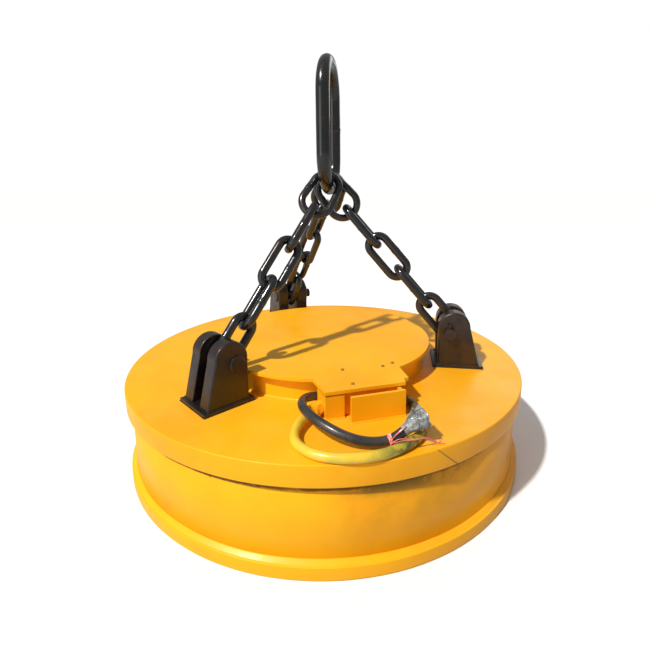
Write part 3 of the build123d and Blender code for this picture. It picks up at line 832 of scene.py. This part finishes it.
def ribbon(spots, frames, twist):
    """Corner points of flat twine along a path, turning slowly as it goes."""
    corners = []
    for number, (centre, (tangent, normal, side)) in enumerate(zip(spots, frames)):
        angle = twist * number / len(spots)
        wide = normal * math.sin(angle) + side * math.cos(angle)
        high = normal * math.cos(angle) - side * math.sin(angle)
        for across, up in ((-1, -1), (1, -1), (1, 1), (-1, 1)):
            corners.append(centre + wide * (across * TWINE_W / 2) + high * (up * TWINE_T / 2))
    return corners


def smooth_path(corners, steps):
    """A smooth curve through every corner."""
    padded = [corners[0]] + corners + [corners[-1]]
    path = []
    for number in range(len(padded) - 3):
        a, b, c, d = padded[number:number + 4]
        for step in range(steps):
            t = step / steps
            square = (2 * a - 5 * b + 4 * c - d) * t**2
            cube = (3 * b - a - 3 * c + d) * t**3
            path.append(0.5 * (2 * b + (c - a) * t + square + cube))
    path.append(corners[-1])
    return path


def make_tie():
    """Turns of flat twine round the cable, a small knot and the loose ends, as one mesh."""
    spots = []
    faces = []

    def add_strip(path, frames, twist):
        faces.extend(tube_faces(len(spots), len(path), 4))
        spots.extend(ribbon(path, frames, twist))

    middle = min(range(len(cable_path)), key=lambda n: abs(cable_reached[n] - TIE_AT * CABLE_LENGTH))
    centre = cable_path[middle]
    tangent, normal, side = carried_frames(cable_path)[middle]
    helix = []
    steps = 40
    for number in range(TIE_TURNS * steps + 1):
        angle = 2 * math.pi * number / steps
        shift = (number / steps - TIE_TURNS / 2) * TIE_PITCH
        reach = CABLE_D / 2 + TWINE_T * (0.6 + 0.5 * abs(noise.noise(Vector((number * 0.05, 0, 2)))))
        helix.append(centre + tangent * shift + (normal * math.cos(angle) + side * math.sin(angle)) * reach)
    helix_frames = []
    for spot in helix:
        out = (spot - centre) - tangent * (spot - centre).dot(tangent)
        helix_frames.append((tangent, out.normalized(), tangent))
    add_strip(helix, helix_frames, 0.0)
    for number, tail in enumerate(TAILS):
        path = smooth_path([above_plate(*spot) for spot in tail], 12)
        add_strip(path, carried_frames(path), 1.2 + 1.5 * number)
    knot_spot = above_plate(*TAILS[0][0])
    loop = []
    for number in range(KNOT_STEPS + 1):
        angle = 2 * math.pi * number / KNOT_STEPS
        wide = 4.2 * MM * math.sin(2 * angle)
        tall = 4.6 * MM * math.cos(angle * 3)
        loop.append(knot_spot + tangent * wide + side * (3.5 * MM * math.cos(angle)) + UP * (tall * 0.5))
    add_strip(loop, carried_frames(loop), 3.0)
    mesh = mesh_from("cable_tie_look", spots, faces)
    return finished("cable_tie_look", mesh, twine, "magnet", ["cable_tie"])


tie = make_tie()

# ---------------------------------------------------------------- magnet body
BODY_TURNS = 288
SEAM_POINTS = 1400


def warped(amount, lobes):
    """A slow unevenness of plate: changes an outline's radius and height a little round the magnet."""

    def shift(angle, radius, height):
        return radius + amount * noise.noise(polar(lobes, angle, height * 6)), height

    return shift


def make_top_plate():
    edge = 3 * MM
    inner = 20 * MM
    corners = [
        (inner, PLATE_LOW, 0.2 * MM),
        (RIM_R - 1 * MM, PLATE_LOW, edge),
        (RIM_R, TOP, edge),
        (inner, TOP, 0.2 * MM),
    ]
    outline = rounded_profile(corners, edge)
    lathe("top_plate", outline, body_yellow, warped(0.5 * MM, 3))


def make_drum():
    corners = [
        (DRUM_R - 40 * MM, SHOE_TOP, 0.2 * MM),
        (DRUM_R, SHOE_TOP, 0.2 * MM),
        (DRUM_R, PLATE_LOW, 0.2 * MM),
        (DRUM_R - 40 * MM, PLATE_LOW, 0.2 * MM),
    ]
    outline = rounded_profile(corners, 0.2 * MM, 1)
    lathe("drum_shell", outline, drum_yellow, warped(0.7 * MM, 4))


def make_shoe():
    """The outer pole shoe with its broad weld fillet; the pole face stays flat."""
    corners = [
        (shoe_high.x - 80 * MM, 0.0, 1.5 * MM),
        (RIM_R, 0.0, 3.5 * MM),
        (RIM_R, SHOE_TOP, 4.5 * MM),
        (DRUM_R + SHOE_WELD * 1.15, SHOE_TOP + 0.5 * MM, 3 * MM),
        (DRUM_R, SHOE_TOP + SHOE_WELD * 1.1, 3 * MM),
        (DRUM_R - 6 * MM, SHOE_TOP, 0.2 * MM),
        (shoe_high.x - 80 * MM, SHOE_TOP, 0.2 * MM),
    ]
    lathe("outer_pole_shoe", rounded_profile(corners, 3 * MM), body_yellow, warped(0.5 * MM, 5))


make_top_plate()
make_drum()
make_shoe()


def make_seams():
    """The hand-laid beads under the top plate and round the raised disc."""
    under = circle_path(DRUM_R + 1.5 * MM, PLATE_LOW - 1.0 * MM, SEAM_POINTS)
    for number, spot in enumerate(under):
        sag = max(0.0, noise.noise(spot * 9) - 0.15)
        spot.z -= 5 * MM * sag
    weld_bead("upper_seam_weld_look", under, 5.2 * MM, drum_yellow, closed=True, pitch=0.011,
              replaced=["upper_seam_weld"])
    centre = Vector((DISC_MIDDLE.x, DISC_MIDDLE.y, 0))
    foot = [spot + centre for spot in circle_path(DISC_R + 0.5 * MM, TOP + 0.5 * MM, SEAM_POINTS)]
    weld_bead("disc_seam_weld", foot, 3.6 * MM, body_yellow, closed=True, pitch=0.008)


make_seams()

DRIP_SPOTS = 17
DRIP_SPREAD = math.radians(150)
DRIP_RINGS = 9
DRIP_SIDES = 10
JOINT_ANGLES = (-66.5, -61.1)
JOINT_STEPS = 24


def make_joint():
    """The thin slanted line of a butt joint in the top plate's rim."""
    path = []
    for step in range(JOINT_STEPS + 1):
        share = step / JOINT_STEPS
        angle = math.radians(JOINT_ANGLES[0] * (1 - share) + JOINT_ANGLES[1] * share)
        height = TOP - 1 * MM - (TOP - PLATE_LOW - 2 * MM) * share
        path.append(polar(RIM_R - 0.2 * MM, angle, height))
    weld_bead("rim_joint", path, 0.8 * MM, screw_paint)


make_joint()


def make_drips():
    """Runs of paint that set as they hung from the bead under the top plate."""
    spots = []
    faces = []
    for _ in range(DRIP_SPOTS):
        angle = -math.pi / 2 + DRIP_SPREAD * (random.random() - 0.5) * (0.4 + 0.6 * random.random())
        out = polar(1, angle)
        along = Vector((-out.y, out.x, 0))
        drop = random.uniform(5, 15) * MM
        width = random.uniform(1.6, 3.2) * MM
        head = out * (DRUM_R + 1.2 * MM) + UP * (PLATE_LOW - 4 * MM)
        faces += tube_faces(len(spots), DRIP_RINGS, DRIP_SIDES)
        for ring in range(DRIP_RINGS):
            share = ring / (DRIP_RINGS - 1)
            centre = head - UP * (drop * share)
            size = width * (0.45 + 0.55 * share**2) * math.sqrt(max(0.02, 1 - share**6))
            for side in range(DRIP_SIDES):
                turn = 2 * math.pi * side / DRIP_SIDES
                spots.append(centre + along * (size * math.cos(turn)) + out * (0.6 * size * math.sin(turn)))
    mesh = mesh_from("paint_drips", spots, faces)
    finished("paint_drips", mesh, drum_yellow, "magnet")


make_drips()

# ---------------------------------------------------------------- cover and terminal box
refined("yoke_disc", 1.2 * MM)
refined("cover_plate", 1.4 * MM)
refined("cable_entry_block", 1.6 * MM)
refined("terminal_box", 1.6 * MM)
refined("cable_gland", 0.8 * MM)


SCREW_SIDES = 24
SAME_SCREW = 12 * MM


def make_screws():
    """Button-head screws with a hexagonal recess, standing in the cover's holes."""
    low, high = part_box("cover_screws")
    heads = []
    for spot in world_corners("cover_screws"):
        if not any((spot.xy - head[0]).length < SAME_SCREW for head in heads):
            heads.append([spot.xy])
        for head in heads:
            if (spot.xy - head[0]).length < SAME_SCREW:
                head.append(spot.xy)
    spots = []
    faces = []
    for head in heads:
        wide = [min(spot.x for spot in head), max(spot.x for spot in head)]
        deep = [min(spot.y for spot in head), max(spot.y for spot in head)]
        middle = Vector((sum(wide) / 2, sum(deep) / 2, 0))
        size = (wide[1] - wide[0]) / 2
        profile = [
            (size, low.z),
            (size, DISC_TOP + 8 * MM),
            (size * 0.97, high.z),
            (size * 0.80, high.z + 1.3 * MM),
            (size * 0.52, high.z + 1.9 * MM),
            (size * 0.46, high.z + 1.4 * MM),
            (size * 0.44, high.z - 1.2 * MM),
        ]
        faces += tube_faces(len(spots), len(profile), SCREW_SIDES)
        for step, (reach, height) in enumerate(profile):
            for number in range(SCREW_SIDES):
                angle = 2 * math.pi * number / SCREW_SIDES
                corner = 1.0
                if step >= len(profile) - 2:
                    corner = math.cos(math.pi / 6) / math.cos((angle % (math.pi / 3)) - math.pi / 6)
                spots.append(middle + polar(reach * corner, angle, height))
    mesh = mesh_from("cover_screws_look", spots, faces)
    finished("cover_screws_look", mesh, screw_paint, "magnet", ["cover_screws"])


make_screws()


BOX_WELD_HEIGHT = 0.4


def make_box_welds():
    """Beads at the feet of the terminal box and of the cable entry block."""
    block = [(-52.5, 381.5), (-96.5, 381.5), (-102.5, 334)]
    panel = [(-47, 410.5), (78.5, 410.5), (78.5, 352), (52.5, 333.5)]
    for name, corners in (("entry_block_weld", block), ("terminal_box_weld", panel)):
        path = polyline([box_spot(*corner, BOX_WELD_HEIGHT) for corner in corners], 1.5 * MM)
        weld_bead(name, path, 2.4 * MM, body_yellow, pitch=0.005)


make_box_welds()


# ---------------------------------------------------------------- lugs
def make_lugs():
    """Ears, base, pin and the black beads that join them, for each of the three lugs."""
    pins = {joint["name"][6]: joint for joint in frame["joints"] if joint["name"].endswith("pin_hinge")}
    for leg in LEGS:
        for part, rounding in (("ear_near", 1.3), ("ear_far", 1.3), ("base", 1.0), ("pin", 0.8)):
            refined("lug_%s_%s" % (leg, part), rounding * MM)
        across = Vector(pins[leg]["axis"]).normalized()
        along = UP.cross(across).normalized()
        corners = world_corners("lug_%s_base" % leg)
        middle = sum(corners, Vector()) / len(corners)
        half_long = max(abs((c - middle).dot(along)) for c in corners)
        half_wide = max(abs((c - middle).dot(across)) for c in corners)
        base_top = max(c.z for c in corners)
        middle.z = TOP + 0.5 * MM
        round_base = []
        for one, two in ((-1, -1), (1, -1), (1, 1), (-1, 1)):
            round_base.append(middle + along * (one * half_long) + across * (two * half_wide))
        weld_bead("lug_%s_base_weld" % leg, polyline(round_base, 1.6 * MM, closed=True), 1.6 * MM, lug_black,
                  closed=True, pitch=0.006)
        for side, ear in ((1, "near"), (-1, "far")):
            low = [v for v in world_corners("lug_%s_ear_%s" % (leg, ear)) if v.z < base_top + 4 * MM]
            reach = max((v - middle).dot(across) * side for v in low)
            half = max(abs((v - middle).dot(along)) for v in low)
            outer = middle + across * (side * reach)
            outer.z = base_top + 0.5 * MM
            run = [outer - along * half, outer + along * half]
            weld_bead("lug_%s_%s_foot_weld" % (leg, ear), polyline(run, 1.6 * MM), 2.4 * MM, lug_black,
                      pitch=0.007)


make_lugs()
refined("lug_pin_washers", 0.5 * MM)
refined("lug_pin_cotters", 0.5 * MM)


# ---------------------------------------------------------------- chain links and master ring
def node_measure(node):
    """Centre, unit axes and full extents of a node, longest first, weighing its surface evenly."""
    mesh = nodes[node].data
    corners = np.array([tuple(spot) for spot in world_corners(node)])
    mesh.calc_loop_triangles()
    triangles = np.array([t.vertices for t in mesh.loop_triangles])
    areas = np.array([t.area for t in mesh.loop_triangles])
    middles = corners[triangles].mean(axis=1)
    mean = np.average(middles, axis=0, weights=areas)
    offsets = middles - mean
    values, axes = np.linalg.eigh((offsets * areas[:, None]).T @ offsets)
    axes = axes.T[::-1]
    reach = (corners - mean) @ axes.T
    low, high = reach.min(axis=0), reach.max(axis=0)
    centre = mean + ((low + high) / 2) @ axes
    return Vector(centre), [Vector(axis) for axis in axes], (high - low)


def stadium(length, low_bow, high_bow, step):
    """A link's centreline in its own plane, from the low bow's wire centre round to it again."""
    middle = length - low_bow - high_bow
    slope = math.asin((low_bow - high_bow) / middle)
    path = []
    half_low = math.pi / 2 + slope
    half_high = math.pi / 2 - slope
    low_count = max(8, round(half_low * low_bow / step))
    high_count = max(8, round(half_high * high_bow / step))
    straight = middle * math.cos(slope)
    straight_count = max(4, round(straight / step))
    for number in range(low_count):
        angle = math.pi - (half_low - 2 * slope) * number / low_count
        path.append((low_bow + low_bow * math.cos(angle), low_bow * math.sin(angle)))
    end_angle = math.pi - (half_low - 2 * slope)
    one = Vector((low_bow + low_bow * math.cos(end_angle), low_bow * math.sin(end_angle)))
    two = Vector((length - high_bow + high_bow * math.cos(end_angle), high_bow * math.sin(end_angle)))
    for number in range(straight_count):
        spot = one + (two - one) * (number / straight_count)
        path.append((spot.x, spot.y))
    for number in range(high_count):
        angle = end_angle * (1 - number / high_count)
        path.append((length - high_bow + high_bow * math.cos(angle), high_bow * math.sin(angle)))
    mirrored = [(x, -y) for x, y in reversed(path[1:])]
    return path + [(length, 0.0)] + mirrored


def wire_loop(node, finish, wire, bows=None, step=3.2 * MM, upset=0.06):
    """A forged closed link or ring in place of a node, with the swollen seam of its butt weld."""
    centre, (along, wide, facing), extent = node_measure(node)
    length = extent[0] - wire
    low_bow, high_bow = bows or ((extent[1] - wire) / 2,) * 2
    if along.z < 0:
        along = -along
    outline = stadium(length, low_bow, high_bow, step)
    start = centre - along * (length / 2)
    path = [start + along * x + wide * y for x, y in outline]
    count = len(path)
    frames = []
    for number in range(count):
        tangent = (path[(number + 1) % count] - path[number - 1]).normalized()
        frames.append((tangent, facing, tangent.cross(facing)))
    upper = [n for n in range(count) if outline[n][1] > 0]
    seam = min(upper, key=lambda n: abs(outline[n][0] - length * 0.5))
    seed = random.uniform(0, 50)

    def radius(ring, angle):
        apart = min(abs(ring - seam), count - abs(ring - seam)) * step
        swell = upset * math.exp(-((apart / (0.30 * wire)) ** 2))
        flash = 0.035 * math.exp(-((apart / (0.09 * wire)) ** 2))
        rough = 0.012 * noise.noise(polar(1, angle, ring * 0.11 + seed))
        return wire / 2 * (0.995 + swell + flash + rough)

    mesh = swept(node + "_look", path, frames, 24, radius, closed=True)
    return finished(node + "_look", mesh, finish, body_of_node(node), [node])


LINK_WIRE = 22 * MM
TOP_LINK_WIRE = 20 * MM
TOP_LINK_BOWS = (40 * MM, 36 * MM)
RING_WIRE = 36 * MM
for leg in LEGS:
    for number in range(1, 5):
        wire_loop("chain_%s_link_%d" % (leg, number), chain_black, LINK_WIRE)
    wire_loop("chain_%s_top_link" % leg, chain_black, TOP_LINK_WIRE, TOP_LINK_BOWS)
wire_loop("master_ring", ring_black, RING_WIRE, step=5 * MM, upset=0.03)

# ---------------------------------------------------------------- underside
refined("inner_pole_shoe", 1.0 * MM)
refined("inner_shoe_bolts", 0.8 * MM)
refined("guard_plate", 1.0 * MM)

# Every CAD node that still shows keeps its mesh and takes its slot's finish.
for node, piece in nodes.items():
    if not piece.hide_render:
        for slot_number in range(max(1, len(piece.material_slots))):
            if not piece.material_slots:
                piece.data.materials.append(SLOT_FINISHES[slot_of[node]])
            piece.material_slots[slot_number].material = SLOT_FINISHES[slot_of[node]]

# ---------------------------------------------------------------- floor, world and lights
FLOOR_SIZE = 60.0
FLOOR_BOUNCE = 0.55        # how much light the floor sends back to the magnet
WORLD_LIGHT = 0.30
KEY_WAY = Vector((0.47, 0.43, -0.77))
KEY_POWER = 3.45
KEY_ANGLE = math.radians(2.6)
LAMP_AIM = Vector((0, 0, 0.4))


def make_floor():
    mesh = mesh_from("floor", [(-FLOOR_SIZE, -FLOOR_SIZE, 0), (FLOOR_SIZE, -FLOOR_SIZE, 0),
                               (FLOOR_SIZE, FLOOR_SIZE, 0), (-FLOOR_SIZE, FLOOR_SIZE, 0)], [(0, 1, 2, 3)])
    floor = placed("floor", mesh)
    f = Finish("floor_paper", 0.9)
    ray = f.tree.nodes.new("ShaderNodeLightPath")
    f.colour(f.mix(ray.outputs["Is Camera Ray"], (FLOOR_BOUNCE,) * 3, (0.96, 0.96, 0.96)))
    mesh.materials.append(f.material)
    floor.location.z = -0.5 * MM


def make_world():
    """White to the camera, and a dimmer even sky as light."""
    world = bpy.data.worlds.new("studio")
    bpy.context.scene.world = world
    world.use_nodes = True
    tree = world.node_tree
    white = tree.nodes["Background"]
    white.inputs["Strength"].default_value = 1.0
    white.inputs["Color"].default_value = (1, 1, 1, 1)
    dim = tree.nodes.new("ShaderNodeBackground")
    dim.inputs["Color"].default_value = (0.93, 0.96, 1.0, 1)
    dim.inputs["Strength"].default_value = WORLD_LIGHT
    path = tree.nodes.new("ShaderNodeLightPath")
    mix = tree.nodes.new("ShaderNodeMixShader")
    tree.links.new(path.outputs["Is Camera Ray"], mix.inputs["Fac"])
    tree.links.new(dim.outputs[0], mix.inputs[1])
    tree.links.new(white.outputs[0], mix.inputs[2])
    tree.links.new(mix.outputs[0], tree.nodes["World Output"].inputs["Surface"])


def make_lights():
    """A small bright key and a broad soft fill from the left front, and a weak back light."""
    key = bpy.data.lights.new("key", "SUN")
    key.energy = KEY_POWER
    key.angle = KEY_ANGLE
    key.color = (1.0, 0.97, 0.92)
    lamp = placed("key", key)
    lamp.rotation_euler = KEY_WAY.to_track_quat("-Z", "Y").to_euler()
    for name, spot, size, power in (
        ("fill", Vector((-2.6, -2.6, 1.3)), 2.2, 22.0),
        ("back", Vector((2.2, 3.0, 2.4)), 2.0, 20.0),
    ):
        data = bpy.data.lights.new(name, "AREA")
        data.size = size
        data.energy = power
        lamp = placed(name, data)
        lamp.location = spot
        lamp.rotation_euler = (LAMP_AIM - spot).to_track_quat("-Z", "Y").to_euler()


make_floor()
make_world()
make_lights()
bpy.context.scene.view_settings.view_transform = "Standard"
